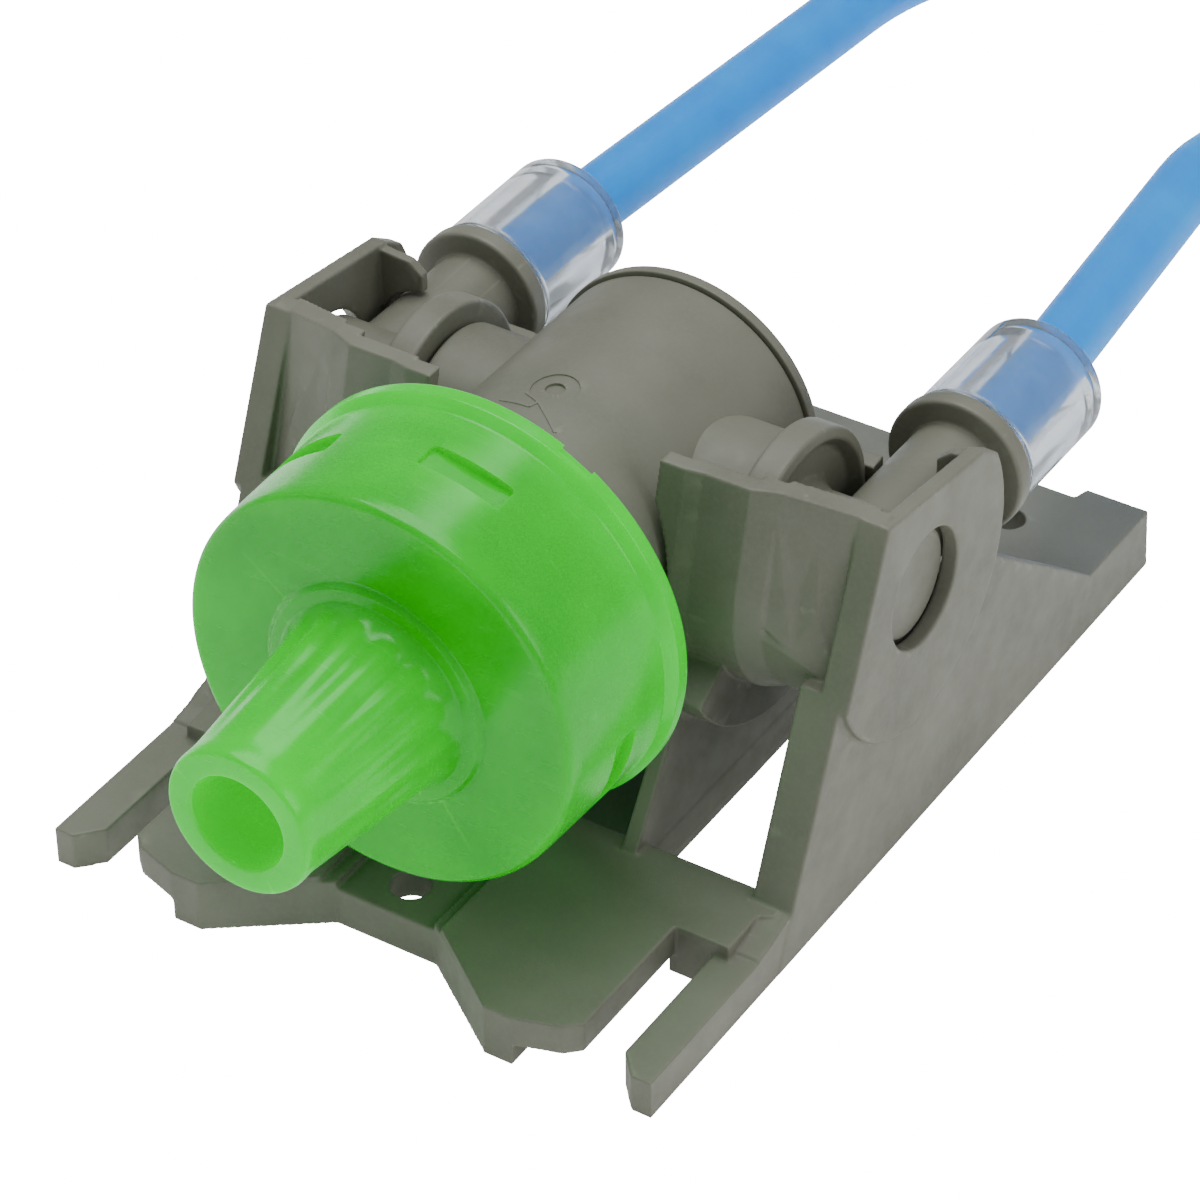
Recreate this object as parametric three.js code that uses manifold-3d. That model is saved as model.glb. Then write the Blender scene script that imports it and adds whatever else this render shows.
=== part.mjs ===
// Hydraulic rotary actuator module for a kit arm: a housing hung by two side bosses in a moulded
// bracket, a green cup that turns on its front, and two feed hoses at the back.
// Millimetres. X is across, Y points to the back, Z is up.
// The origin is on the bracket's underside, straight below the axis of the two side bosses.
import * as THREE from 'three';
import Module from 'manifold-3d';

const wasm = await Module();
wasm.setup();
const { Manifold, Mesh } = wasm;

// Driving dimensions
const gap = 0.3;                 // clearance between pieces that touch
const axisHeight = 23.3;         // the side bosses' axis above the table
const halfWidth = 26;            // outer face of the bracket's side plates
const bossFace = 26.7;           // outer face of the round bosses on the side plates
const bossInner = 25.35;         // their inner face
const bossRadius = 11.8;
const plateInner = 24.6;         // inner face of the lower side plates
const deckTop = 4.5;             // front deck
const deckThickness = 2.6;
const channelTop = 3.35;         // sunk centre strip of the deck
const legTop = 3.25;
const plateTop = 32.2;           // of the posts, where the side plates are highest
const troughTop = 33.7;          // of the troughs' front walls
const legInner = 22.55;          // inner face of the legs and of the posts' lower halves
const postInner = 24.3;          // inner face of the posts' upper halves
const postStep = 19.2;           // height where the posts and side plates change thickness
const rearTop = 5.65;            // rear deck
const rearEdge = 38.5;
const frontEdge = -36;
const hoseX = 21.25;             // distance of each hose from the middle
const hoseRadius = 2.75;
const pipeRadius = 3.85;         // of the elbows' pipes
const housingRadius = 11.25;
const boreRadius = 9.2;
const cupRadius = 17.05;         // flared back rim of the green cup
const round = 32;                // segments of a large circle
const small = 16;                // segments of a small circle

const degrees = Math.PI / 180;

// ---- solids -------------------------------------------------------------------------------------

function solidOf(geometry) {
  const g = geometry.clone();
  g.deleteAttribute('normal');
  g.deleteAttribute('uv');
  const welded = weld(g);
  return new Manifold(new Mesh({
    numProp: 3,
    vertProperties: new Float32Array(welded.points),
    triVerts: new Uint32Array(welded.triangles),
  }));
}

// One vertex for each place, and no triangle that has lost its area.
function weld(geometry) {
  const position = geometry.attributes.position;
  const index = geometry.index;
  const count = index ? index.count : position.count;
  const places = new Map();
  const points = [];
  const corner = (k) => {
    const i = index ? index.getX(k) : k;
    const p = [position.getX(i), position.getY(i), position.getZ(i)];
    const key = p.map((v) => Math.round(v * 1e4)).join();
    if (!places.has(key)) {
      places.set(key, points.length / 3);
      points.push(...p);
    }
    return places.get(key);
  };
  const triangles = [];
  for (let k = 0; k < count; k += 3) {
    const [a, b, c] = [corner(k), corner(k + 1), corner(k + 2)];
    if (a !== b && b !== c && c !== a) {
      triangles.push(a, b, c);
    }
  }
  return { points, triangles };
}

function meshOf(name, solid, look) {
  const { vertProperties, triVerts, numProp } = solid.getMesh();
  const flat = [];
  for (const v of triVerts) {
    flat.push(vertProperties[v * numProp], vertProperties[v * numProp + 1], vertProperties[v * numProp + 2]);
  }
  const geometry = new THREE.BufferGeometry();
  geometry.setAttribute('position', new THREE.Float32BufferAttribute(flat, 3));
  geometry.computeVertexNormals();
  const mesh = new THREE.Mesh(geometry, new THREE.MeshStandardMaterial(look));
  mesh.name = name;
  return mesh;
}

const unite = (solids) => solids.reduce((a, b) => a.add(b));

function box(x0, x1, y0, y1, z0, z1) {
  const g = new THREE.BoxGeometry(x1 - x0, y1 - y0, z1 - z0);
  g.translate((x0 + x1) / 2, (y0 + y1) / 2, (z0 + z1) / 2);
  return solidOf(g);
}

// A six-sided block from its corners: x changes first in the list, then y, then z.
function blockOf(corners) {
  const g = new THREE.BoxGeometry(1, 1, 1);
  const position = g.attributes.position;
  for (let i = 0; i < position.count; i++) {
    const [right, back, up] = [position.getX(i), position.getY(i), position.getZ(i)].map((v) => v > 0);
    position.setXYZ(i, ...corners[Number(right) + 2 * Number(back) + 4 * Number(up)]);
  }
  return solidOf(g);
}

// An outline in plan, pulled up from z0 to z1.
function plan(points, z0, z1) {
  const shape = new THREE.Shape(points.map(([x, y]) => new THREE.Vector2(x, y)));
  const g = new THREE.ExtrudeGeometry(shape, { depth: z1 - z0, bevelEnabled: false });
  g.translate(0, 0, z0);
  return solidOf(g);
}

// A shape drawn in the Y-Z plane, pulled across from x0 to x1.
function across(shape, x0, x1, curveSegments = small) {
  const g = new THREE.ExtrudeGeometry(shape, { depth: x1 - x0, bevelEnabled: false, curveSegments });
  const toSide = new THREE.Matrix4().makeBasis(
    new THREE.Vector3(0, 1, 0), new THREE.Vector3(0, 0, 1), new THREE.Vector3(1, 0, 0));
  g.applyMatrix4(toSide);
  g.translate(x0, 0, 0);
  return solidOf(g);
}

const sideOutline = (points) => new THREE.Shape(points.map(([y, z]) => new THREE.Vector2(y, z)));

// A turned solid. profile is [radius, distance along the axis]. The axis runs along +Y.
function turned(profile, segments = round) {
  const points = profile.map(([r, a]) => new THREE.Vector2(r, a));
  return solidOf(new THREE.LatheGeometry(points, segments));
}

const alongX = (solid) => solid.rotate([0, 0, -90]);
const alongZ = (solid) => solid.rotate([90, 0, 0]);

function rod(radius, from, to, segments = small) {
  return turned([[0, from], [radius, from], [radius, to], [0, to]], segments);
}

function tube(inner, outer, from, to, segments = round) {
  return turned([[inner, from], [outer, from], [outer, to], [inner, to], [inner, from]], segments);
}

function torus(ringRadius, sectionRadius, at, segments = 24) {
  const sides = 6;
  const profile = [];
  for (let i = 0; i <= sides; i++) {
    const t = (i % sides) / sides * 2 * Math.PI;
    profile.push([ringRadius + sectionRadius * Math.cos(t), at + sectionRadius * Math.sin(t)]);
  }
  return turned(profile, segments);
}

const bothSides = (solid) => solid.add(solid.mirror([1, 0, 0]));

// ---- bracket ------------------------------------------------------------------------------------

const postLean = Math.tan(22 * degrees);
const postFoot = -16.9;          // where the post's front face meets the front deck
const postAt = (z) => postFoot + (z - deckTop) * postLean;

// Cross-section of a trough round the side bosses' axis: a front wall that leans back, a round
// bottom and a short rear wall.
function troughSection(outer, inner, frontTop, rearTopAbove) {
  const lean = 13.4 * degrees;
  const up = (radius) => (frontTop - radius * Math.sin(lean)) / Math.cos(lean);
  const wall = (radius) => [
    -radius * Math.cos(lean) + up(radius) * Math.sin(lean),
    frontTop,
  ];
  const shape = new THREE.Shape();
  const [yOuter, zOuter] = wall(outer);
  const [yInner, zInner] = wall(inner);
  const rear = Math.asin(Math.min(0.99, rearTopAbove / outer));
  shape.moveTo(yOuter, zOuter);
  shape.lineTo(-outer * Math.cos(lean), outer * Math.sin(lean));
  shape.absarc(0, 0, outer, Math.PI - lean, 2 * Math.PI + rear, false);
  shape.absarc(0, 0, inner, 2 * Math.PI + rear, Math.PI - lean, true);
  shape.lineTo(yInner, zInner);
  return shape;
}

const wallThickness = 1.9;
const setBack = 0.35;            // of the turned wall behind the post's front face

// Beside the post the trough's front wall turns back, and its top comes down, to meet the post.
const turn = {
  from: { x: 19, top: [-7.86, troughTop], bottom: [-10, axisHeight] },
  to: {
    x: 25,
    top: [postAt(plateTop) + setBack, plateTop - 0.15],
    bottom: [postAt(19) + setBack, 19],
  },
};

function turnedWall() {
  const corners = [];
  for (const edge of ['bottom', 'top']) {
    for (const inward of [0, wallThickness]) {
      for (const end of [turn.from, turn.to]) {
        corners.push([end.x, end[edge][0] + inward, end[edge][1]]);
      }
    }
  }
  return blockOf(corners);
}

// Everything behind the turned wall and below its top, from the wall's start to the side plate.
function behindTurn() {
  const [from, to] = [turn.from.x, bossInner + 1];
  const [rear, low] = [16, 8];
  const frontAt = (end, z) => {
    const [[yTop, zTop], [yLow, zLow]] = [end.top, end.bottom];
    return yTop + (yLow - yTop) * (z - zTop) / (zLow - zTop);
  };
  return blockOf([
    [from, frontAt(turn.from, low), low], [to, frontAt(turn.to, low), low],
    [from, rear, low], [to, rear, low],
    [from, turn.from.top[0], troughTop - 0.05], [to, turn.to.top[0], plateTop - 0.2],
    [from, rear, troughTop - 0.05], [to, rear, plateTop - 0.2],
  ]);
}

function trough() {
  const height = troughTop - axisHeight;
  const [inner, deepInner] = [9.3, 8.6];
  const [steep, short] = [-5.2, 1.5];
  const inPlace = (outer, inside, rearAbove, x0, x1) =>
    across(troughSection(outer, inside, height, rearAbove), x0, x1).translate([0, 0, axisHeight]);
  const first = inPlace(11, 9.6, -8, 9.8, 12.4);
  const second = inPlace(11, inner, short, 12.1, 12.9);
  const third = inPlace(10.75, inner, short, 12.6, 17.1);
  const fourth = inPlace(10, deepInner, steep, 17, turn.from.x + 0.1);
  const last = inPlace(10, deepInner, steep, turn.from.x, bossInner + 0.2).intersect(behindTurn());
  return unite([first, second, third, fourth, last, turnedWall()]);
}

// A heavier band that carries the trough on the inner web.
function saddle() {
  const shape = new THREE.Shape();
  const [from, to] = [211 * degrees, 322 * degrees];
  shape.absarc(0, 0, 14.5, from, to, false);
  shape.absarc(0, 0, 10.2, to, from, true);
  return across(shape, 11.7, 15.4).translate([0, 0, axisHeight]);
}

function innerWeb() {
  return across(sideOutline([
    [-17.3, 0], [34, 0], [34, channelTop], [22, channelTop], [14, 9], [11, 14], [8.5, 15.4],
    [-8.2, 15], [-11.3, 14.25], [-17.3, deckTop],
  ]), 11.7, 12.95);
}

// The upper edge of a side plate: from the post over a blunt peak to the boss.
const shoulder = 29 * degrees;
const plateEdge = [
  [postAt(plateTop), plateTop],
  [8.1, 30.4],
  [bossRadius * Math.cos(shoulder), axisHeight + bossRadius * Math.sin(shoulder)],
];

function sidePlate() {
  const lowerTop = postStep - 1;
  const lower = across(sideOutline([
    [-17.6, 0], [39, 0], [rearEdge, rearTop], [28.6, rearTop], [12.2, lowerTop], [postAt(lowerTop), lowerTop],
    [postFoot, deckTop],
  ]), plateInner, halfWidth);
  const upper = across(sideOutline([
    [postAt(postStep), postStep], ...plateEdge, [bossRadius, axisHeight], [0, axisHeight - 9],
  ]), bossInner, bossFace);
  const boss = alongX(rod(bossRadius, bossInner, bossFace, round)).translate([0, 0, axisHeight]);
  const behindBoss = 30;
  const edgeEnd = plateEdge.at(-1)[1];
  const belowEdge = across(sideOutline([
    [postAt(0), 0], ...plateEdge, [behindBoss, edgeEnd], [behindBoss, 0],
  ]), bossInner - 1, bossFace + 1);
  const hole = alongX(rod(4.73, bossInner - 1, bossFace + 1, round)).translate([0, 0, axisHeight]);
  return unite([lower, upper, boss.intersect(belowEdge)]).subtract(hole);
}

// A thin flange behind the plate's peak that reaches in over the elbow's pipe.
const flange = { front: 7.2, back: 8.1, top: 30.2, narrow: 23.4, wide: 21.5 };

function returnFlange(inner) {
  const plate = box(inner, bossInner + 0.2, flange.front, flange.back, axisHeight + 2, flange.top);
  return plate.subtract(rod(pipeRadius + gap, 0, 12, round).translate([hoseX, 0, axisHeight]));
}

function post() {
  const thickness = 1.7;
  const bar = (inner, low, high) => across(sideOutline([
    [postAt(low), low],
    [postAt(high), high],
    [postAt(high) + thickness, high],
    [postAt(low) + thickness, low],
  ]), inner, halfWidth);
  return bar(legInner, 0, 20).add(bar(postInner, 19.9, plateTop));
}

function leg() {
  const outer = halfWidth - 0.1;
  const rear = -15.5;
  return plan([
    [outer, frontEdge], [outer - 1.65, frontEdge], [legInner, frontEdge + 1.95], [legInner, rear],
    [outer, rear],
  ], 0, legTop);
}

// Three low steps that run up from the leg to the post.
function ramp() {
  return across(sideOutline([
    [-21.3, 0], [-21.3, legTop + 0.2], [-19.4, legTop + 0.5], [-18.3, deckTop - 0.3], [postFoot, deckTop],
    [-15.5, deckTop], [-15.5, 0],
  ]), 23.4, halfWidth - 0.1);
}

const notch = { inner: 4.4, innerY: -30.7, lobeX: 12.4, lobeEndX: 14.8, lobeY: -36.6 };

function frontDeck() {
  const rear = -15.65;
  const slotRear = -22.3;        // where the slot beside the leg ends
  const bevel = 0.9;
  const lobe = plan([
    [notch.inner + bevel, notch.innerY - 0.6], [notch.lobeX, notch.lobeY], [notch.lobeEndX, notch.lobeY],
    [18.3, -35.5], [19.45, -34.4], [19.45, slotRear], [23.9, slotRear], [23.9, -18.3], [24.9, -17.6],
    [24.9, rear], [notch.inner + bevel, rear],
  ], deckTop - deckThickness, deckTop);
  const wall = 1.6;
  const skirt = plan([
    [notch.inner - 0.1, notch.innerY], [notch.lobeX, notch.lobeY], [notch.lobeEndX, notch.lobeY],
    [notch.lobeEndX, rear], [notch.lobeEndX - wall, rear], [notch.lobeEndX - wall, notch.lobeY + wall],
    [notch.lobeX + 0.5, notch.lobeY + wall], [notch.inner - 0.1, notch.innerY + wall + 0.4],
  ], 0, deckTop - 0.5);
  const beside = across(sideOutline([[rear, 0], [rear - 1.2, 0], [rear - 1.2, deckTop - 0.5],
    [rear, deckTop - 0.5]]), notch.lobeEndX - wall, 24.9);
  const slotWall = box(18.9, 23.9, slotRear, slotRear + 1.3, 0, deckTop - 0.2);
  return unite([lobe, skirt, beside, slotWall]);
}

function centreStrip() {
  const half = 13;
  const wideFront = -20.6;       // the strip is only as wide as the notch in front of this
  const strip = box(-half, half, notch.innerY + 0.02, rearEdge - 1.4, channelTop - deckThickness, channelTop);
  const besideChannel = bothSides(
    box(notch.inner + 0.5, half + 2, notch.innerY - 2, wideFront, -1, channelTop + 1));
  const narrow = strip.subtract(besideChannel);
  const lip = box(-notch.inner, notch.inner, notch.innerY, notch.innerY + 1.6, 0, channelTop);
  const spine = box(-1.3, 1.3, -22, rearEdge - 1.4, 0, channelTop - 0.5);
  const ribs = unite([-15.65, 0, 18].map((y) => box(-half, half, y - 0.7, y + 0.7, 0, channelTop - 0.5)));
  return unite([narrow, lip, spine, ribs]);
}

// The sloping sides of the sunk centre strip.
function channelSides() {
  return bothSides(plan([
    [notch.inner - 0.1, notch.innerY], [notch.inner + 1.2, notch.innerY - 0.9], [notch.inner + 1.2, -15.65],
    [notch.inner - 0.1, -15.65],
  ], deckTop - deckThickness, channelTop + 0.6));
}

function rearDeck() {
  const recess = 1.4;
  const deckFront = 24;
  const outline = [
    [0, deckFront], [halfWidth - 0.6, deckFront], [halfWidth, deckFront + 0.6], [halfWidth, rearEdge - 1],
    [24.45, rearEdge], [20.5, rearEdge], [20.1, rearEdge - recess], [0, rearEdge - recess],
  ];
  const deck = plan(outline, rearTop - deckThickness, rearTop);
  const skirt = plan([
    [0, rearEdge - recess - 1.6], [halfWidth - 1.4, rearEdge - recess - 1.6], [halfWidth, rearEdge - 1],
    [24.45, rearEdge], [20.5, rearEdge], [20.1, rearEdge - recess], [0, rearEdge - recess],
  ], 0, rearTop - 0.5);
  const riser = box(0, 13, deckFront, deckFront + 1.4, channelTop - 1.5, rearTop - 0.5);
  return bothSides(unite([deck, skirt, riser]));
}

function bracket() {
  const side = unite([
    trough(), saddle(), innerWeb(), sidePlate(), post(), leg(), ramp(), frontDeck(),
    returnFlange(flange.narrow),
  ]);
  const pin = (radius, x, y) => alongZ(rod(radius, -10, 10)).translate([x, y, 0]);
  const wideFlange = returnFlange(flange.wide).mirror([1, 0, 0]);
  const body = unite([bothSides(side), wideFlange, centreStrip(), channelSides(), rearDeck()]);
  const tiltRoom = 1.12;         // the room is taller than wide, so that the housing can tilt
  const housingRoom = rod(housingRadius + 0.45, -30, 16, round).scale([1, 1, tiltRoom])
    .translate([0, 0, axisHeight]);
  return body
    .subtract(pin(1.55, 0, -27.4))
    .subtract(bothSides(pin(1.4, 17, 31.8)))
    .subtract(housingRoom);
}

// ---- housing and what turns in it ---------------------------------------------------------------

const sideBoss = { radius: 7.4, end: 13.9, socket: 3.5, port: 1.6 };
const housing = { front: -27, rear: 9.9, flangeFront: -21.2, flangeBack: -19.4, flange: 13.2 };

function housingBody() {
  const shell = turned([
    [boreRadius, housing.front], [housingRadius, housing.front], [housingRadius, housing.flangeFront],
    [housing.flange, housing.flangeFront], [housing.flange, housing.flangeBack],
    [housingRadius, housing.flangeBack], [housingRadius, housing.rear], [boreRadius, housing.rear],
    [boreRadius, housing.front],
  ], round);
  const boss = alongX(rod(sideBoss.radius, 0, sideBoss.end, round));
  const hollow = rod(boreRadius, housing.front - 1, housing.rear + 1, round);
  const socket = alongX(rod(sideBoss.socket, 10.4, sideBoss.end + 1, small));
  const port = alongX(rod(sideBoss.port, 0, 12, small));
  const mark = tube(0.75, 1.35, -0.4, 0.4, small).rotate([90, 0, 0])
    .translate([0, -6.2, housingRadius - 0.05]).rotate([0, -3, 0]);
  return unite([shell, bothSides(boss), mark])
    .subtract(hollow)
    .subtract(bothSides(unite([socket, port])));
}

function housingEndCap() {
  const plug = 3.4;
  const face = housing.rear + gap;
  return turned([
    [0, face - plug], [boreRadius - 1.5, face - plug], [boreRadius - 0.3, face - plug],
    [boreRadius - 0.3, face - 2.5], [boreRadius - 1.2, face - 2.5], [boreRadius - 1.2, face - 1.1],
    [boreRadius - 0.3, face - 1.1], [boreRadius - 0.3, face], [housingRadius + 0.15, face],
    [housingRadius + 0.15, face + 0.7], [housingRadius - 0.4, face + 1.1], [0, face + 1.1],
  ], round);
}

const shaft = { radius: 3.6, rear: 6.2, shoulder: -24.1, front: -28.5, squareHalf: 2.2 };
const vane = { half: 0.9, front: -15, back: 6.3, lipGap: 0.15, edge: 7.9 };

// The shaft with its vane. Its square end fits the green cup's socket, so the two turn together.
function vaneRotor() {
  const body = rod(shaft.radius, shaft.shoulder, shaft.rear, small);
  const square = box(-shaft.squareHalf, shaft.squareHalf, shaft.front, shaft.shoulder + 0.5,
    -shaft.squareHalf, shaft.squareHalf);
  const web = box(-vane.half, vane.half, vane.front, vane.back - 0.2, 1, vane.edge);
  return unite([body, square, web]);
}

// A soft lip on the vane's edge that slides round the bore.
function vaneLip() {
  return box(-vane.half, vane.half, vane.front, vane.back, vane.edge + vane.lipGap, boreRadius - 0.35);
}

// Fixed wedge below the shaft that parts the two chambers.
function divider() {
  const shape = new THREE.Shape();
  const half = 14 * degrees;
  const [outer, inner] = [boreRadius - 0.15, shaft.radius + 0.25];
  shape.absarc(0, 0, outer, -Math.PI / 2 - half, -Math.PI / 2 + half, false);
  shape.absarc(0, 0, inner, -Math.PI / 2 + half, -Math.PI / 2 - half, true);
  const depth = vane.back - vane.front;
  const g = new THREE.ExtrudeGeometry(shape, { depth, bevelEnabled: false, curveSegments: 8 });
  g.rotateX(Math.PI / 2);
  g.translate(0, vane.back, 0);
  return solidOf(g);
}

const bearing = {
  front: -19.2,
  back: -15.4,
  grooveFront: -18,
  grooveBack: -16.7,
  sealAt: -17.35,
  grooveRadius: boreRadius - 1.2,
};

// Front bearing plate that closes the chambers and carries the shaft.
function bearingPlate() {
  const plate = tube(shaft.radius + 0.25, boreRadius - 0.15, bearing.front, bearing.back);
  const groove = tube(bearing.grooveRadius, boreRadius + 1, bearing.grooveFront, bearing.grooveBack);
  return plate.subtract(groove);
}

// A seal ring between a groove and the housing's bore, at the given distance along the axis.
const boreSeal = (at) => torus(boreRadius - 0.62, 0.46, at);

const windowAngles = [12, 108, 204, 320];

function greenCup() {
  const front = -30.6;
  const wallInner = 14;
  const rimBack = -16.7;
  const cup = turned([
    [0, -36.4], [2.2, -37], [3.3, -38.4], [3.76, -47.2], [5.7, -47.2], [5.84, -46.9], [7.3, -32],
    [7.9, -31.3], [8.8, -31], [9, front], [14.8, front], [15.7, front + 0.4], [16.15, front + 1.2],
    [16.45, -19.6], [16.7, -18.6], [cupRadius, -18], [cupRadius, rimBack + 0.25],
    [cupRadius - 0.25, rimBack], [wallInner + 0.5, rimBack], [wallInner, -17.4], [wallInner, -27.2],
    [wallInner - 0.9, -28.4], [0, -28.4],
  ], 40);
  const neckRear = shaft.shoulder - gap;
  const socketHalf = shaft.squareHalf + gap;
  const socket = box(-socketHalf, socketHalf, shaft.front - gap, neckRear, -socketHalf, socketHalf);
  const neck = rod(5.2, -28.6, neckRear, small);
  const flutes = [];
  const count = 16;
  for (let i = 0; i < count; i++) {
    const ridge = rod(0.42, -46.6, -32.6, 6).rotate([5.6, 0, 0]).translate([0, 0, 2.6]);
    flutes.push(ridge.rotate([0, i * 360 / count, 0]));
  }
  const windows = windowAngles.map((angle) =>
    box(-3.4, 3.4, -24.8, -22.4, 15.6, 18).rotate([0, angle, 0]));
  const rimNotch = box(-1.4, 1.4, -17.6, -16, 16.5, 18).rotate([0, 29, 0]);
  const hooks = windowAngles.map((angle) => sector(tube(12, wallInner + 0.4, -19.1, -17.5), angle, 11));
  return unite([cup, neck, ...hooks])
    .subtract(unite([socket, ...flutes]))
    .subtract(unite([...windows, rimNotch]));
}

// The part of a ring round the Y axis that lies within half degrees of an angle from the top.
function sector(ring, angle, half) {
  const reach = 40;
  const side = reach * Math.tan(half * degrees);
  const wedge = new THREE.Shape([[0, 0], [side, reach], [-side, reach]].map((p) => new THREE.Vector2(...p)));
  const g = new THREE.ExtrudeGeometry(wedge, { depth: 60, bevelEnabled: false });
  g.rotateX(Math.PI / 2);
  g.translate(0, 30, 0);
  return ring.intersect(solidOf(g).rotate([0, angle, 0]));
}

// ---- elbows and hoses ---------------------------------------------------------------------------

const pipeFlange = { back: 15.6, front: 13.9, radius: 5.68 };
const sleeve = { front: 15.9, back: 27.4, outer: 5.4, inner: 3.3 };
const barb = { radius: 1.7, front: 15, back: 26.2, bore: 1.1 };
const spigot = { front: 10.9, radius: 3.2, grooveFront: 11.6, grooveBack: 12.8, grooveRadius: 2.5 };

function elbow() {
  const discFront = sideBoss.end + gap;
  const turnedBody = alongX(turned([
    [0, spigot.front], [spigot.radius, spigot.front], [spigot.radius, spigot.grooveFront],
    [spigot.grooveRadius, spigot.grooveFront], [spigot.grooveRadius, spigot.grooveBack],
    [spigot.radius, spigot.grooveBack], [spigot.radius, discFront], [9, discFront], [9, 16.6], [8, 16.9],
    [7.4, 15.9], [5, 15.9], [4.6, 16.6], [4.4, 25.6], [0, 25.6],
  ], 28));
  const pipe = rod(pipeRadius, 0, pipeFlange.back, small).translate([hoseX, 0, 0]);
  const collar = rod(pipeFlange.radius, pipeFlange.front, pipeFlange.back, 24).translate([hoseX, 0, 0]);
  const tail = rod(barb.radius, barb.front, barb.back, 12).translate([hoseX, 0, 0]);
  const bore = alongX(rod(barb.bore, spigot.front - 1, hoseX, 8))
    .add(rod(barb.bore, 0, barb.back + 4, 8).translate([hoseX, 0, 0]));
  return unite([turnedBody, pipe, collar, tail]).subtract(bore);
}

const elbowSeal = () =>
  alongX(torus(spigot.grooveRadius + 0.54, 0.38, (spigot.grooveFront + spigot.grooveBack) / 2, small));

const clearSleeve = () => tube(sleeve.inner, sleeve.outer, sleeve.front, sleeve.back, 24)
  .translate([hoseX, 0, 0]);

const coil = { x: 11, y: 144, radius: 30, approach: 19.8 };

// How each hose leans inwards per millimetre, where it starts to come down and how high its coil lies.
const hoses = {
  left: { side: -1, lean: 0.061, dropFrom: 68, height: 3 * hoseRadius + gap },
  right: { side: 1, lean: 0.087, dropFrom: 57, height: hoseRadius },
};
const sag = 0.01;                // how much a hose sinks per millimetre before it comes down
const leanFrom = 24;             // where the hoses begin to lean, inside their sleeves

const ease = (t) => 0.5 - 0.5 * Math.cos(Math.PI * Math.min(1, Math.max(0, t)));

// 0 before the start and d after it, with a smooth bend between.
function bent(d) {
  const half = 3;
  return Math.abs(d) < half ? (d + half) ** 2 / (4 * half) : Math.max(0, d);
}

// The way of a hose: straight out of the elbow, leaning in a little, then down along its coil's side.
class HoseWay extends THREE.Curve {
  constructor(hose) {
    super();
    this.hose = hose;
  }

  getPoint(t) {
    const { side, lean, dropFrom, height } = this.hose;
    const start = 16.2;
    const end = coil.y - coil.approach;
    const y = start + t * (end - start);
    const out = bent(y - leanFrom);
    const down = ease((y - dropFrom) / (end - 2 - dropFrom));
    const x = side * (hoseX - lean * out);
    const z = axisHeight - sag * out;
    const coilSide = coil.x + side * coil.radius;
    return new THREE.Vector3(x + (coilSide - x) * down, y, z + (height - z) * down);
  }
}

function hoseTube(hose) {
  const section = new THREE.Shape();
  section.absarc(0, 0, hoseRadius, 0, 2 * Math.PI, false);
  const extrudePath = new HoseWay(hose);
  const g = new THREE.ExtrudeGeometry(section, { steps: 14, curveSegments: 5, extrudePath });
  const barbRoom = rod(barb.radius + 0.35, barb.front - 1, barb.back + 0.4, 12)
    .translate([hose.side * hoseX, 0, axisHeight]);
  return solidOf(g).subtract(barbRoom);
}

function coilRing(height) {
  const sides = 8;
  const profile = [];
  for (let i = 0; i <= sides; i++) {
    const t = (i % sides) / sides * 2 * Math.PI;
    profile.push([coil.radius + hoseRadius * Math.cos(t), hoseRadius * Math.sin(t)]);
  }
  return alongZ(turned(profile, 30)).translate([coil.x, coil.y, height]);
}

// Places a piece drawn along +Y on the loose end of a hose, inside its coil.
function atHoseEnd(solid, side) {
  const looseEnd = { x: 11.3, y: 12.9, turn: 30 };
  return solid
    .translate([0, -10, 0])
    .rotate([0, 0, side * looseEnd.turn])
    .translate([coil.x + side * looseEnd.x, coil.y + looseEnd.y, sleeve.outer + 0.02]);
}

function endConnector() {
  return turned([
    [barb.bore, 0.8], [barb.radius, 0.8], [barb.radius, 11.7], [pipeFlange.radius - 0.4, 11.7],
    [pipeFlange.radius - 0.4, 13.3], [3.4, 13.3], [3.2, 20.3], [barb.bore, 20.3], [barb.bore, 0.8],
  ], small);
}

// ---- assembly -----------------------------------------------------------------------------------

const looks = {
  grey: { color: 0x82847a, roughness: 0.55, metalness: 0 },
  green: { color: 0x45c94c, roughness: 0.25, metalness: 0 },
  blue: { color: 0x1a96e0, roughness: 0.35, metalness: 0 },
  clear: { color: 0xe8eef2, roughness: 0.12, metalness: 0, transparent: true, opacity: 0.5 },
  rubber: { color: 0x202020, roughness: 0.8, metalness: 0 },
  white: { color: 0xd9d9d2, roughness: 0.4, metalness: 0 },
};

const part = new THREE.Group();
part.name = 'hydraulic_rotary_actuator_module';
const raised = new THREE.Group();
raised.position.z = axisHeight;
part.add(raised);

const inFrame = (name, solid, look) => part.add(meshOf(name, solid, look));
const onAxis = (name, solid, look) => raised.add(meshOf(name, solid, look));

inFrame('bracket', bracket(), looks.grey);
onAxis('housing', housingBody(), looks.grey);
onAxis('housing_end_cap', housingEndCap(), looks.grey);
onAxis('end_cap_seal', boreSeal(housing.rear + gap - 1.8), looks.rubber);
onAxis('bearing_plate', bearingPlate(), looks.white);
onAxis('bearing_plate_seal', boreSeal(bearing.sealAt), looks.rubber);
onAxis('chamber_divider', divider(), looks.white);
onAxis('vane_rotor', vaneRotor(), looks.white);
onAxis('vane_lip_seal', vaneLip(), looks.rubber);
onAxis('shaft_seal', torus(shaft.radius + 1.15, 0.75, -20.4, small), looks.rubber);
onAxis('green_cup', greenCup(), looks.green);

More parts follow.
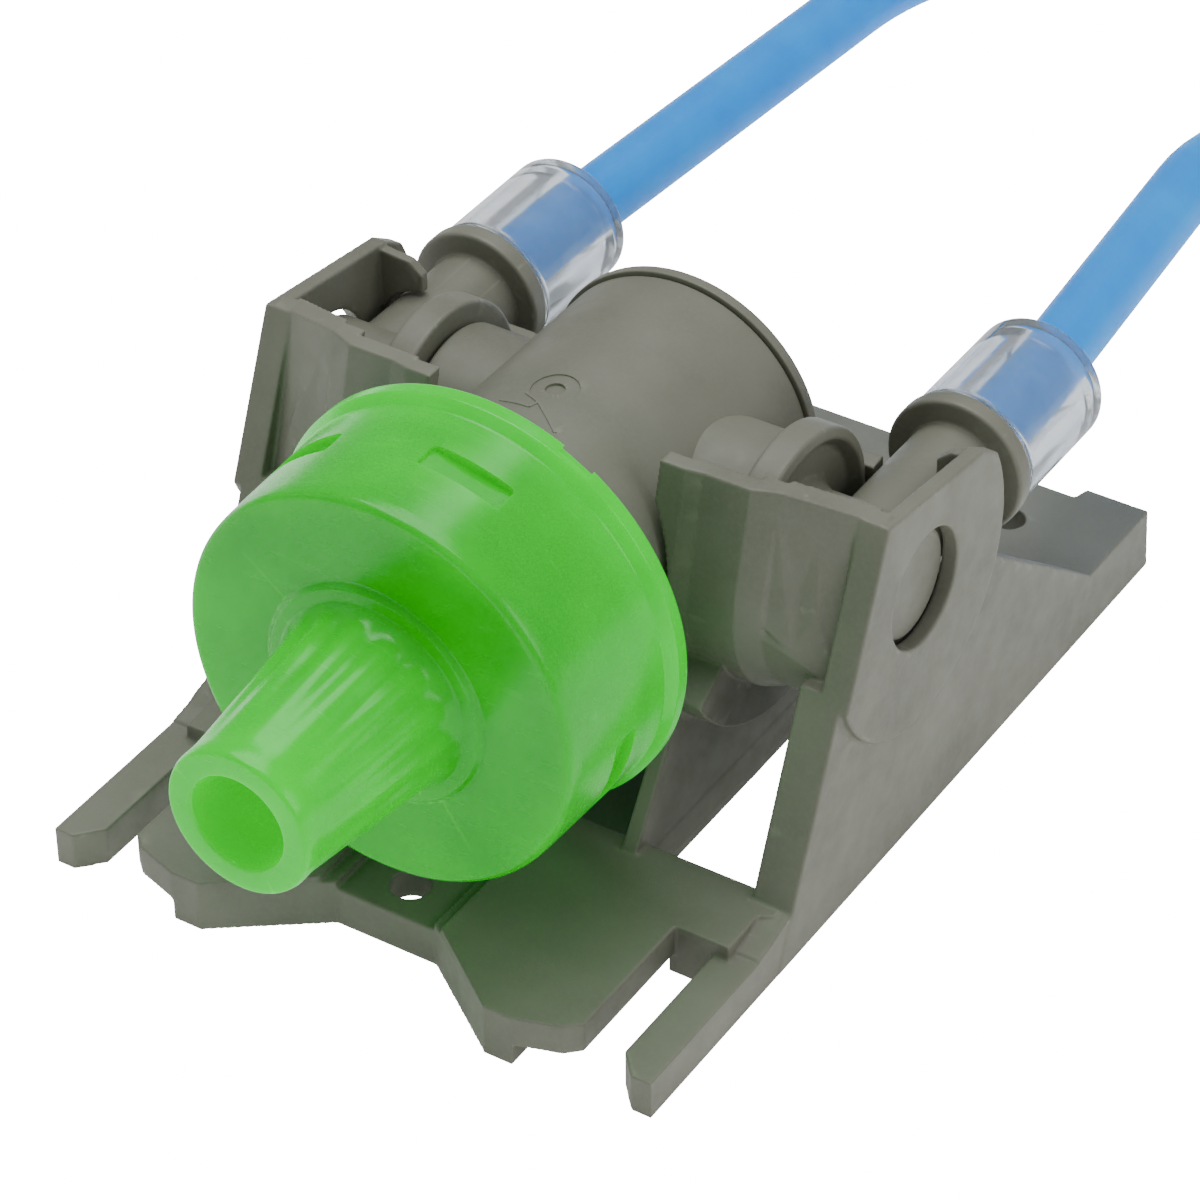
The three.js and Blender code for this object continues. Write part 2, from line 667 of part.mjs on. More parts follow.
for (const [name, hose] of Object.entries(hoses)) {
  const sided = (solid) => (hose.side < 0 ? solid.mirror([1, 0, 0]) : solid);
  onAxis(`elbow_${name}`, sided(elbow()), looks.grey);
  onAxis(`elbow_seal_${name}`, sided(elbowSeal()), looks.rubber);
  onAxis(`hose_sleeve_${name}`, sided(clearSleeve()), looks.clear);
  inFrame(`hose_${name}`, hoseTube(hose), looks.blue);
  inFrame(`hose_coil_${name}`, coilRing(hose.height), looks.blue);
  const endSleeve = tube(sleeve.inner, sleeve.outer, 0, 11.4, 24);
  inFrame(`hose_end_sleeve_${name}`, atHoseEnd(endSleeve, hose.side), looks.clear);
  inFrame(`hose_end_connector_${name}`, atHoseEnd(endConnector(), hose.side), looks.grey);
}

export default part;
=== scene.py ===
"""Looks for the hydraulic rotary actuator module: moulded bracket, housing, green cup, elbows, hoses.

Millimetres are used throughout and turned to metres by MM where a mesh is made.
"""
import math

import bmesh
import bpy
from mathutils import Matrix, Vector


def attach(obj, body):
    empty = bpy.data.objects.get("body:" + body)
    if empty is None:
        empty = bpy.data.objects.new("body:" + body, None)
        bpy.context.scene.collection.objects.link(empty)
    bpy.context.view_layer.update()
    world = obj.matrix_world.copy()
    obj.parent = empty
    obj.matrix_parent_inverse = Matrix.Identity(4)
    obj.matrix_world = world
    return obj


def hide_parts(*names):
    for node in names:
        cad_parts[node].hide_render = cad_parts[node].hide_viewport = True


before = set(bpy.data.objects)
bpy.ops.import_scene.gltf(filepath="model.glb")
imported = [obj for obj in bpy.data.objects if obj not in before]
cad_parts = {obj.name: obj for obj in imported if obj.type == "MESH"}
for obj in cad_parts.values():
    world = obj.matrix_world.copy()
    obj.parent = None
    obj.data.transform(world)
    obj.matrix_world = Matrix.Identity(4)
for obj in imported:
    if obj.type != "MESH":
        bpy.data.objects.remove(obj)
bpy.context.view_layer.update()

MM = 0.001
AXIS_HEIGHT = 23.3  # of the two side bosses above the table
HOSE_X = 21.25
HOSE_RADIUS = 2.75
ROUND = 128  # sides of a turned piece


# ---- camera ------------------------------------------------------------------------------------
def add_camera():
    """A long lens from the front right and above."""
    right = Vector((0.8446303, 0.5352957, -0.0076241))
    down = Vector((0.3221144, -0.5195285, -0.7914117))
    forward = Vector((-0.4276002, 0.6659945, -0.6112360))
    data = bpy.data.cameras.new("camera")
    data.lens = 143.97
    data.sensor_width = 36.0
    data.clip_start, data.clip_end = 0.01, 10.0
    camera = bpy.data.objects.new("camera", data)
    turn = Matrix((right, -down, -forward)).transposed()
    place = Vector((154.092, -241.562, 232.718)) * MM
    camera.matrix_world = Matrix.Translation(place) @ turn.to_4x4()
    bpy.context.scene.collection.objects.link(camera)
    bpy.context.scene.camera = camera


add_camera()


# ---- hoses -------------------------------------------------------------------------------------
COIL = Vector((11.0, 144.0))
COIL_RADIUS = 30.0
APPROACH = 19.8  # where a hose meets its coil, before the coil's middle
HOSE_START = 16.2
# For each side: lean inwards per millimetre, where the hose starts to come down, coil height
HOSES = {-1: (0.061, 68.0, 3 * HOSE_RADIUS + 0.3), 1: (0.087, 57.0, HOSE_RADIUS)}
SAG = 0.01  # per millimetre beyond the straight stretch
LEAN_FROM = 24.0  # a hose runs straight as far as this
LEAVE = math.radians(246)  # how far round the coil a hose goes before it turns in
LAST_BEND = 22.4  # radius of the turn inwards, seen from above
LOOSE_END = Vector((11.3, 12.9))  # middle of an end sleeve's mouth and tip, from the coil's middle
END_HEIGHT = 5.42  # of a loose hose end above the table
END_TURN = math.radians(30)  # how far a loose end is turned from +Y
END_BARB = 9.6  # how far the hose goes into its end sleeve


def ease(t):
    return 0.5 - 0.5 * math.cos(math.pi * min(1.0, max(0.0, t)))


def bent(d):
    """0 before the start and d after it, with a smooth bend between."""
    half = 3.0
    return (d + half) ** 2 / (4 * half) if abs(d) < half else max(0.0, d)


def hose_route(side):
    """The hose's centre line: out of the elbow, down to the table, once round, then into its end."""
    lean, drop_from, height = HOSES[side]
    coil_side = COIL.x + side * COIL_RADIUS
    points = []
    first_end = COIL.y - APPROACH
    steps = 48
    for i in range(steps + 1):
        y = HOSE_START + (first_end - HOSE_START) * i / steps
        out = bent(y - LEAN_FROM)
        down = ease((y - drop_from) / (first_end - 2 - drop_from))
        x, z = side * (HOSE_X - lean * out), AXIS_HEIGHT - SAG * out
        points.append(Vector((x + (coil_side - x) * down, y, z + (height - z) * down)))
    for i in range(1, 5):
        points.append(Vector((coil_side, first_end + APPROACH * i / 4, height)))
    for i in range(1, 43):
        points.append(on_arc(COIL, COIL_RADIUS, side, LEAVE * i / 42, height))
    inwards = Vector((side * math.cos(LEAVE), math.sin(LEAVE))) * (COIL_RADIUS - LAST_BEND)
    for i in range(1, 25):
        rise = END_HEIGHT + (height - END_HEIGHT) * (1 - ease((i / 24 - 0.4) / 0.6))
        angle = LEAVE + (2 * math.pi + END_TURN - LEAVE) * i / 24
        points.append(on_arc(COIL + inwards, LAST_BEND, side, angle, rise))
    mouth = points[-1]
    for i in range(1, 4):
        points.append(mouth + end_way(side) * (END_BARB * i / 3))
    return points


def end_way(side):
    """Which way a loose hose end points."""
    return Vector((-side * math.sin(END_TURN), math.cos(END_TURN), 0.0))


def on_arc(centre, radius, side, angle, height):
    """A point on a level arc that starts at the outer side and runs towards the back."""
    out, along = radius * math.cos(angle), radius * math.sin(angle)
    return Vector((centre.x + side * out, centre.y + along, height))


def length_of(points):
    return sum((b - a).length for a, b in zip(points, points[1:]))


def add_hose(name, side):
    points = hose_route(side)
    curve = bpy.data.curves.new(f"soft_hose_{name}", "CURVE")
    curve.dimensions = "3D"
    curve.bevel_depth = 1.0  # times each point's own radius
    curve.bevel_resolution = 8
    curve.use_fill_caps = True
    spline = curve.splines.new("POLY")
    spline.points.add(len(points) - 1)
    for spot, point in zip(spline.points, points):
        spot.co = (*(point * MM), 1.0)
        spot.radius = HOSE_RADIUS * MM
    spline.use_smooth = True
    hose = bpy.data.objects.new(f"soft_hose_{name}", curve)
    bpy.context.scene.collection.objects.link(hose)
    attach(hose, "base")
    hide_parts(f"hose_{name}", f"hose_coil_{name}")
    return hose, length_of(points) * MM


SIDES = {"left": -1, "right": 1}
hoses = {name: add_hose(name, side) for name, side in SIDES.items()}


# ---- mesh code ---------------------------------------------------------------------------------
def new_piece(name, corners, faces):
    mesh = bpy.data.meshes.new(name)
    mesh.from_pydata([tuple(MM * c for c in p) for p in corners], [], faces)
    bm = bmesh.new()
    bm.from_mesh(mesh)
    bmesh.ops.remove_doubles(bm, verts=bm.verts, dist=1e-7)
    bmesh.ops.recalc_face_normals(bm, faces=bm.faces)
    bm.to_mesh(mesh)
    bm.free()
    piece = bpy.data.objects.new(name, mesh)
    bpy.context.scene.collection.objects.link(piece)
    return piece


def drop(piece):
    """Removes a piece that a boolean has used up."""
    mesh = piece.data
    bpy.data.objects.remove(piece)
    bpy.data.meshes.remove(mesh)


def apply_modifiers(piece):
    graph = bpy.context.evaluated_depsgraph_get()
    made = bpy.data.meshes.new_from_object(piece.evaluated_get(graph))
    old = piece.data
    piece.modifiers.clear()
    piece.data = made
    made.name = piece.name
    bpy.data.meshes.remove(old)


def combine(piece, others, operation="UNION"):
    """Booleans, one after another. The other pieces are used up."""
    for other in others:
        step = piece.modifiers.new("boolean", "BOOLEAN")
        step.operation = operation
        step.solver = "MANIFOLD"
        step.object = other
    apply_modifiers(piece)
    for other in others:
        drop(other)
    return piece


def cut(piece, others):
    return combine(piece, others, "DIFFERENCE")


def between(first, last):
    """A solid between two outlines that have the same number of points."""
    n = len(first)
    faces = [list(range(n)), list(range(n, 2 * n))]
    faces += [[i, (i + 1) % n, n + (i + 1) % n, n + i] for i in range(n)]
    return new_piece("solid", first + last, faces)


def prism(outline, low, high, place):
    """An outline pulled from low to high. place turns (a, b, height) to a point."""
    return between([place(a, b, low) for a, b in outline], [place(a, b, high) for a, b in outline])


def across(outline, x0, x1):
    """A side view in (y, z), pulled across from x0 to x1."""
    return prism(outline, x0, x1, lambda y, z, x: (x, y, z))


def plan(outline, z0, z1):
    """A plan view in (x, y), pulled up from z0 to z1."""
    return prism(outline, z0, z1, lambda x, y, z: (x, y, z))


def block(x0, x1, y0, y1, z0, z1):
    return plan([(x0, y0), (x1, y0), (x1, y1), (x0, y1)], z0, z1)


def loft(first, x0, last, x1):
    """Joins two side views that have the same number of points."""
    return between([(x0, y, z) for y, z in first], [(x1, y, z) for y, z in last])


def arc(cy, cz, radius, start, end, steps=32):
    """Points on a circle, from one angle to another in degrees."""
    points = []
    for i in range(steps + 1):
        a = math.radians(start + (end - start) * i / steps)
        points.append((cy + radius * math.cos(a), cz + radius * math.sin(a)))
    return points


def rounded(points, closed=True):
    """Corners given as (a, b, radius) become arcs; plain (a, b) corners stay."""
    made = []
    n = len(points)
    for i, point in enumerate(points):
        here = Vector(point[:2])
        radius = point[2] if len(point) > 2 else 0
        if not radius or (not closed and i in (0, n - 1)):
            made.append(tuple(here))
            continue
        before = Vector(points[i - 1][:2]) - here
        after = Vector(points[(i + 1) % n][:2]) - here
        half = before.angle(after) / 2
        reach = min(radius / math.tan(half), 0.49 * before.length, 0.49 * after.length)
        start, end = here + before.normalized() * reach, here + after.normalized() * reach
        steps = 5
        for k in range(steps + 1):
            t = k / steps
            made.append(tuple(start * (1 - t) ** 2 + here * 2 * t * (1 - t) + end * t * t))
    return made


def turned(profile, place, segments=ROUND, swell=None):
    """A turned piece. profile is (radius, along) and place turns (radius, angle, along) to a point.
    swell(angle, along, radius) is added to the radius."""
    closed = profile[0][0] > 1e-6
    corners, rings = [], []
    for r, a in profile:
        if r < 1e-6:
            rings.append([len(corners)] * segments)
            corners.append(place(0.0, 0.0, a))
            continue
        ring = []
        for k in range(segments):
            t = 2 * math.pi * k / segments
            ring.append(len(corners))
            corners.append(place(r + (swell(t, a, r) if swell else 0.0), t, a))
        rings.append(ring)
    faces = []
    pairs = list(zip(rings, rings[1:]))
    if closed:
        pairs.append((rings[-1], rings[0]))
    for low, high in pairs:
        for k in range(segments):
            j = (k + 1) % segments
            face = [low[k], low[j], high[j], high[k]]
            face = [v for i, v in enumerate(face) if v != face[i - 1]]
            if len(set(face)) > 2:
                faces.append(face)
    return new_piece("turned", corners, faces)


def along_y(x=0.0, z=AXIS_HEIGHT):
    """For turned(): the axis runs along +Y. The angle counts from the top towards +X."""
    return lambda r, t, a: (x + r * math.sin(t), a, z + r * math.cos(t))


def along_x(side=1, z=AXIS_HEIGHT):
    return lambda r, t, a: (side * a, r * math.sin(t), z + r * math.cos(t))


def upright(x, y):
    return lambda r, t, a: (x + r * math.cos(t), y + r * math.sin(t), a)


def rod(radius, low, high, place, segments=48):
    return turned([(0, low), (radius, low), (radius, high), (0, high)], place, segments)


def mirrored(piece):
    """A copy on the other side of x = 0."""
    mesh = piece.data.copy()
    mesh.transform(Matrix.Scale(-1, 4, Vector((1, 0, 0))))
    mesh.flip_normals()
    copy = bpy.data.objects.new(piece.name, mesh)
    bpy.context.scene.collection.objects.link(copy)
    return copy


def soften(piece, voxel, passes, keep):
    """One skin over overlapping solids, with every edge a little rounded as in a mould. voxel is
    in millimetres, passes is how often the skin is smoothed and keep is the share of faces kept."""
    remesh = piece.modifiers.new("skin", "REMESH")
    remesh.mode = "VOXEL"
    remesh.voxel_size = voxel * MM * 1.0
    smooth = piece.modifiers.new("smooth", "SMOOTH")
    smooth.factor = 0.5
    smooth.iterations = passes
    thin = piece.modifiers.new("thin", "DECIMATE")
    thin.ratio = keep
    apply_modifiers(piece)
    piece.data.shade_smooth()
    weighted = piece.modifiers.new("normals", "WEIGHTED_NORMAL")
    weighted.weight = 60
    apply_modifiers(piece)
    return piece


def crisp(piece, angle):
    """Smooth shading, with sharp edges where faces meet at more than the angle in degrees."""
    piece.data.shade_smooth()
    piece.data.set_sharp_from_angle(angle=math.radians(angle))
    weighted = piece.modifiers.new("normals", "WEIGHTED_NORMAL")
    weighted.keep_sharp = True
    apply_modifiers(piece)
    return piece


def finish_piece(piece, name, body, nodes, material):
    piece.name = name
    piece.data.name = name
    piece.data.materials.clear()
    piece.data.materials.append(material)
    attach(piece, body)
    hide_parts(*nodes)
    return piece


# ---- bracket -----------------------------------------------------------------------------------
HALF_WIDTH = 26.0
BOSS_FACE, BOSS_INNER, BOSS_RADIUS = 26.7, 25.35, 11.8
PLATE_INNER = 24.6
DECK_TOP, DECK_THICKNESS, CHANNEL_TOP = 4.5, 2.6, 3.35
LEG_TOP, REAR_TOP, REAR_EDGE, FRONT_EDGE = 3.25, 5.65, 38.5, -36.0
POST_FOOT, POST_TOP, TROUGH_TOP = -16.9, 32.2, 33.7
POST_LEAN = math.tan(math.radians(22))
POST_INNER, POST_INNER_ABOVE, POST_STEP = 22.55, 24.3, 20  # a post is narrower above its step
POST_DEPTH = 1.7


def post_at(z):
    return POST_FOOT + (z - DECK_TOP) * POST_LEAN


def trough_section(outer, inner, top, rear_above):
    """A front wall that leans back, a round bottom and a short rear wall, round the boss axis."""
    lean = 13.4
    s, c = math.sin(math.radians(lean)), math.cos(math.radians(lean))

    def wall_top(radius):
        return (-radius * c + (top - radius * s) / c * s, top + AXIS_HEIGHT)

    rear = math.degrees(math.asin(rear_above / outer))
    outside = arc(0, AXIS_HEIGHT, outer, 180 - lean, 360 + rear, 48)
    inside = arc(0, AXIS_HEIGHT, inner, 360 + rear, 180 - lean, 48)
    return [wall_top(outer), *outside, *inside, wall_top(inner)]


def trough():
    """The cradle of one side boss, in steps, with the front wall turning back to meet the post."""
    top = TROUGH_TOP - AXIS_HEIGHT

    def section(outer, inner, rear_above):
        return trough_section(outer, inner, top, rear_above)

    parts = [
        across(section(11, 9.6, -8), 9.8, 11.9),
        loft(section(11, 9.3, 1.5), 11.8, section(10.75, 9.3, 1.5), 13.3),
        across(section(10.75, 9.3, 1.5), 13.25, 17.1),
        loft(section(10.75, 8.6, -5.2), 17.05, section(10, 8.6, -5.2), 19),
    ]
    # the turning wall, from x0 to x1: the top and the foot of its front, then of its back
    x0, x1, wall_depth = 19, 25, 1.9
    first = [(-7.86, TROUGH_TOP), (-10, AXIS_HEIGHT)]
    last = [(post_at(POST_TOP) + 0.3, POST_TOP - 0.1), (-9.25, 19)]
    first += [(y + wall_depth, z) for y, z in reversed(first)]
    last += [(y + wall_depth, z) for y, z in reversed(last)]
    parts.append(loft(first, x0 - 0.05, last, x1))
    deep = across(section(10, 8.6, -5.2), x0 - 0.05, BOSS_INNER + 0.2)
    inside_wall = 0.3  # keeps the room's front clear of the wall's, so that no two faces coincide

    def wall_at(x):
        """The wall's section at x."""
        t = (x - x0) / (x1 - x0)
        return [(a + (c - a) * t, b + (d - b) * t) for (a, b), (c, d) in zip(first, last)]

    def behind(front, z_top):
        """The room behind a section of the wall, which the deep part of the trough stays in."""
        back, bottom = 16, 8
        (y_top, high), (y_low, low) = front[0], front[1]
        y_bottom = y_top + (y_low - y_top) * (bottom - high) / (low - high)
        return [(y_top + inside_wall, z_top), (y_bottom + inside_wall, bottom), (back, bottom),
                (back, z_top)]

    room_end = BOSS_INNER + 1
    room = loft(behind(wall_at(x0 - 0.1), TROUGH_TOP - 0.05), x0 - 0.1,
                behind(wall_at(room_end), POST_TOP - 0.2), room_end)
    parts.append(combine(deep, [room], "INTERSECT"))
    return parts


def bracket_half():
    parts = trough()
    band = arc(0, AXIS_HEIGHT, 14.5, 211, 322) + arc(0, AXIS_HEIGHT, 10.2, 322, 211)
    parts.append(across(band, 11.7, 15.4))
    parts.append(across([
        (-17.3, 0), (34, 0), (34, CHANNEL_TOP), (22, CHANNEL_TOP), (14, 9), (11, 14), (8.5, 15.4),
        (-8.2, 15), (-11.3, 14.25), (-17.3, DECK_TOP),
    ], 11.7, 12.95))
    parts.append(side_plate())
    for x0, low, high in ((POST_INNER, 0, POST_STEP), (POST_INNER_ABOVE, POST_STEP - 0.1, POST_TOP)):
        parts.append(across([
            (post_at(low), low), (post_at(high), high), (post_at(high) + POST_DEPTH, high),
            (post_at(low) + POST_DEPTH, low),
        ], x0, HALF_WIDTH))
    outer = HALF_WIDTH - 0.1
    parts.append(plan([
        (outer, FRONT_EDGE), (outer - 1.65, FRONT_EDGE), (POST_INNER, FRONT_EDGE + 1.95),
        (POST_INNER, -15.5), (outer, -15.5),
    ], 0, LEG_TOP))
    parts.append(across([
        (-21.3, 0), (-21.3, LEG_TOP + 0.2), (-19.4, LEG_TOP + 0.5), (-18.3, DECK_TOP - 0.3),
        (POST_FOOT, DECK_TOP), (-15.5, DECK_TOP), (-15.5, 0),
    ], 23.4, outer))
    parts += front_deck()
    return parts


def side_plate():
    lower = across([
        (-17.6, 0), (39, 0), (REAR_EDGE, REAR_TOP), (28.6, REAR_TOP), (12.2, 18.2),
        (post_at(18.2), 18.2), (POST_FOOT, DECK_TOP),
    ], PLATE_INNER, HALF_WIDTH)
    shoulder = 29
    edge = [(post_at(POST_TOP), POST_TOP), (8.1, 30.4)]
    disc = arc(0, AXIS_HEIGHT, BOSS_RADIUS, shoulder, -159, 80)
    upper = across(edge + disc, BOSS_INNER, BOSS_FACE)
    return combine(lower, [upper])


def return_flange(side, reach):
    """A thin flange behind the plate's peak that reaches in over the elbow's pipe."""
    high = 30.2
    outline = [(BOSS_INNER + 0.2, 25), (BOSS_INNER + 0.2, high), (reach + 1.1, high - 0.25),
               (reach, high - 1.2), (reach, 25)]
    piece = prism(outline, 7.2, 8.1, lambda x, z, y: (side * x, y, z))
    return cut(piece, [rod(4.15, 0, 12, along_y(side * HOSE_X), 96)])


NOTCH = {"inner": 4.4, "inner_y": -30.7, "lobe_x": 12.4, "lobe_end": 14.8, "lobe_y": -36.6}


def front_deck():
    rear, bevel, wall, slot_rear = -15.65, 0.9, 1.6, -22.3
    n = NOTCH
    lobe = plan([
        (n["inner"] + bevel, n["inner_y"] - 0.6), (n["lobe_x"], n["lobe_y"]),
        (n["lobe_end"], n["lobe_y"]), (18.3, -35.5), (19.45, -34.4), (19.45, slot_rear),
        (23.9, slot_rear), (23.9, -18.3), (24.9, -17.6), (24.9, rear), (n["inner"] + bevel, rear),
    ], DECK_TOP - DECK_THICKNESS, DECK_TOP)
    inside = n["lobe_end"] - wall
    skirt = plan([
        (n["inner"] - 0.1, n["inner_y"]), (n["lobe_x"], n["lobe_y"]), (n["lobe_end"], n["lobe_y"]),
        (n["lobe_end"], rear), (inside, rear), (inside, n["lobe_y"] + wall),
        (n["lobe_x"] + 0.5, n["lobe_y"] + wall), (n["inner"] - 0.1, n["inner_y"] + wall + 0.4),
    ], 0, DECK_TOP - 0.5)
    beside = block(inside, 24.9, rear - 1.2, rear, 0, DECK_TOP - 0.5)
    slope = plan([
        (n["inner"] - 0.1, n["inner_y"]), (n["inner"] + 1.2, n["inner_y"] - 0.9),
        (n["inner"] + 1.2, rear), (n["inner"] - 0.1, rear),
    ], DECK_TOP - DECK_THICKNESS, CHANNEL_TOP + 0.6)
    slot_wall = block(18.9, 23.9, slot_rear, slot_rear + 1.3, 0, DECK_TOP - 0.2)
    return [lobe, skirt, beside, slope, slot_wall]


def rear_deck_half():
    recess = 1.4
    edge = [(HALF_WIDTH, REAR_EDGE - 1), (24.45, REAR_EDGE), (20.5, REAR_EDGE),
            (20.1, REAR_EDGE - recess), (-0.2, REAR_EDGE - recess)]
    deck = plan([(-0.2, 24), (HALF_WIDTH - 0.6, 24), (HALF_WIDTH, 24.6), *edge],
                REAR_TOP - DECK_THICKNESS, REAR_TOP)
    inner = REAR_EDGE - recess - 1.6
    skirt = plan([(-0.2, inner), (HALF_WIDTH - 1.4, inner), *edge], 0, REAR_TOP - 0.5)
    riser = block(-0.2, 13, 24, 25.4, CHANNEL_TOP - 1.5, REAR_TOP - 0.5)
    return [deck, skirt, riser]


def centre_strip():
    n = NOTCH
    half, front, back = 13, n["inner_y"], REAR_EDGE - 1.4
    wide = block(-half, half, -20.6, back, CHANNEL_TOP - DECK_THICKNESS, CHANNEL_TOP)
    narrow = block(-n["inner"] - 0.5, n["inner"] + 0.5, front, -20, CHANNEL_TOP - DECK_THICKNESS,
                   CHANNEL_TOP)
    lip = block(-n["inner"], n["inner"], front, front + 1.6, 0, CHANNEL_TOP)
    spine = block(-1.3, 1.3, -22, back, 0, CHANNEL_TOP - 0.5)
    ribs = [block(-half, half, y - 0.7, y + 0.7, 0, CHANNEL_TOP - 0.5) for y in (-15.65, 0, 18)]
    return [wide, narrow, lip, spine, *ribs]


def make_bracket():
    half = bracket_half() + rear_deck_half()
    solids = half + [mirrored(s) for s in half] + centre_strip()
    solids += [return_flange(1, 23.3), return_flange(-1, 21.5)]
    bracket = combine(solids[0], solids[1:])
    room = turned([(0, -30), (11.7, -30), (11.7, 16), (0, 16)],
                  lambda r, t, a: (r * math.sin(t), a, AXIS_HEIGHT + 1.12 * r * math.cos(t)), 96)
    holes = [rod(4.73, BOSS_INNER - 1, BOSS_FACE + 1, along_x(side), 96) for side in (-1, 1)]
    pins = [rod(1.55, -10, 10, upright(0, -27.4))]
    pins += [rod(1.4, -10, 10, upright(x, 31.8)) for x in (-17, 17)]
    cut(bracket, [room, *holes, *pins])
    return soften(bracket, voxel=0.14, passes=2, keep=0.17)


# ---- housing -----------------------------------------------------------------------------------
HOUSING_BORE, HOUSING_RADIUS = 9.2, 11.25
MARK = (-0.6, -6.3)  # middle of the round mark on the housing's top, in plan


def make_housing():
    bore, radius, flange = HOUSING_BORE, HOUSING_RADIUS, 13.2
    barrel = [(radius, y) for y in range(-18, 10)]  # short faces, so that a cut stays local
    shell = turned(rounded([
        (bore, -27), (radius, -27, 0.3), (radius, -21.2), (flange, -21.2, 0.3), (flange, -19.4, 0.3),
        (radius, -19.4, 0.4), *barrel, (radius, 9.9, 0.25), (bore, 9.9),
    ]), along_y())
    bosses = [
        turned(rounded([(0, 8), (7.4, 8), (7.4, 13.9, 0.3), (0, 13.9)], closed=False), along_x(side))
        for side in (-1, 1)
    ]
    combine(shell, bosses)
    cut(shell, [rod(bore, -26.9, 11, along_y(), ROUND)])
    sockets = [rod(3.5, 10.4, 15, along_x(side), 64) for side in (-1, 1)]
    sockets += [rod(1.6, 6, 12, along_x(side), 32) for side in (-1, 1)]
    cut(shell, sockets)
    dish = [(0, -0.1), (0.6, -0.1), (1.2, -0.1), (1.8, -0.1), (1.92, 0.4), (1, 0.4), (0, 0.4)]
    pit = [(0, -0.3), (0.45, -0.3), (0.72, -0.28), (0.84, 0.4), (0, 0.4)]
    cut(shell, [turned(dish, on_housing, 64), turned(pit, on_housing, 48)])
    pointer = [((-2.15, -7.7), (-0.68, -8.4), (2.25, -10.72)),
               ((-3.55, -9.0), (-0.95, -9.2), (-0.66, -8.45))]
    ribs = [rib_on_housing(a, b) for line in pointer for a, b in zip(line, line[1:])]
    combine(shell, ribs)
    return crisp(shell, 30)


def housing_top(x):
    return math.sqrt(HOUSING_RADIUS**2 - x * x) + AXIS_HEIGHT


def on_housing(r, t, a):
    """For turned(): upright at the mark. The height counts from the housing's surface."""
    x, y = MARK[0] + r * math.cos(t), MARK[1] + r * math.sin(t)
    return (x, y, housing_top(x) + a)


def rib_on_housing(start, end):
    """A fine raised line from start to end, both in plan."""
    way = Vector((end[0] - start[0], end[1] - start[1]))
    beside = Vector((way.y, -way.x)).normalized() * 0.11
    sections = []
    steps = 8
    for i in range(steps + 1):
        middle = Vector(start) + way * (i / steps)
        ring = [(middle - beside * 2, -0.2), (middle - beside, 0.07), (middle + beside, 0.07),
                (middle + beside * 2, -0.2)]
        sections.append([(p.x, p.y, housing_top(p.x) + high) for p, high in ring])
    corners = [corner for section in sections for corner in section]
    faces = [(0, 1, 2, 3), tuple(range(4 * steps, 4 * steps + 4))]
    for i in range(steps):
        for k in range(4):
            a, b = 4 * i + k, 4 * i + (k + 1) % 4
            faces.append((a, b, b + 4, a + 4))
    return new_piece("rib", corners, faces)


def make_end_cap():
    bore, radius, face = HOUSING_BORE, 11.55, 10.2
    return crisp(turned(rounded([
        (0, face - 3.4), (bore - 0.3, face - 3.4, 0.3), (bore - 0.3, face - 2.5),
        (bore - 1.2, face - 2.5), (bore - 1.2, face - 1.1), (bore - 0.3, face - 1.1),
        (bore - 0.3, face - 0.22), (radius, face - 0.22, 0.15), (radius, face + 0.75, 0.4),
        (radius - 0.9, face + 1.1, 0.2), (0, face + 1.1),
    ], closed=False), along_y()), 40)


# ---- green cup ---------------------------------------------------------------------------------
WINDOW_ANGLES = (12, 108, 204, 320)  # in degrees, from the top towards +X
FLUTES = 16
FLUTE_START, FLUTE_LENGTH = -45.6, 14.0


def flute(angle, along, radius):
    """The grooves of the stub, deepest near the cup and gone before the collar at the tip."""
    if not FLUTE_START < along < FLUTE_START + FLUTE_LENGTH or radius < 5:
        return 0.0
    t = (along - FLUTE_START) / FLUTE_LENGTH
    depth = 0.34 * min(1.0, t * 1.6) * min(1.0, (1 - t) * 12)
    wave = 0.5 - 0.5 * math.cos(FLUTES * angle)
    return -depth * wave**1.3


def cup_profile():
    inner = 14.0
    tip = [
        (0, -36.4), (2.2, -37, 0.6), (3.3, -38.4, 0.9), (3.76, -47.2, 0.35), (5.7, -47.2, 0.35),
    ]
    stub = [(5.87, -46.6), (5.85, -45.7)]
    for i in range(1, 26):
        y = -45.7 + i * (13.9 / 26)
        stub.append((5.8 + 1.45 * (y + 45.7) / 13.9, y))
    cup = [
        (7.3, -31.8), (7.75, -31.15, 0.5), (8.7, -31, 0.4), (9.1, -30.6, 0.5), (16.05, -30.6, 1.0),
        (16.15, -29.3, 0.8), (16.4, -20.4), (16.45, -18.9, 0.5), (17.05, -18, 0.3),
        (17.05, -16.7, 0.3), (inner + 0.5, -16.7, 0.3), (inner, -17.4, 0.4), (inner, -28.4, 1.2),
        (5.2, -28.4, 0.4), (5.2, -24.4, 0.2), (0, -24.4),
    ]
    return rounded(tip + stub + cup, closed=False)


def make_cup():
    cup = turned(cup_profile(), along_y(), 192, flute)
    windows = [rounded_slot(3.4, 1.2, -23.6, angle) for angle in WINDOW_ANGLES]
    notch = turned_block(block(-1.4, 1.4, -17.6, -16, AXIS_HEIGHT + 16.5, AXIS_HEIGHT + 18), 29)
    shaft_socket = block(-2.5, 2.5, -28.8, -23, AXIS_HEIGHT - 2.5, AXIS_HEIGHT + 2.5)
    cut(cup, [*windows, notch, shaft_socket])
    combine(cup, [hook(angle) for angle in WINDOW_ANGLES])
    return crisp(cup, 28)


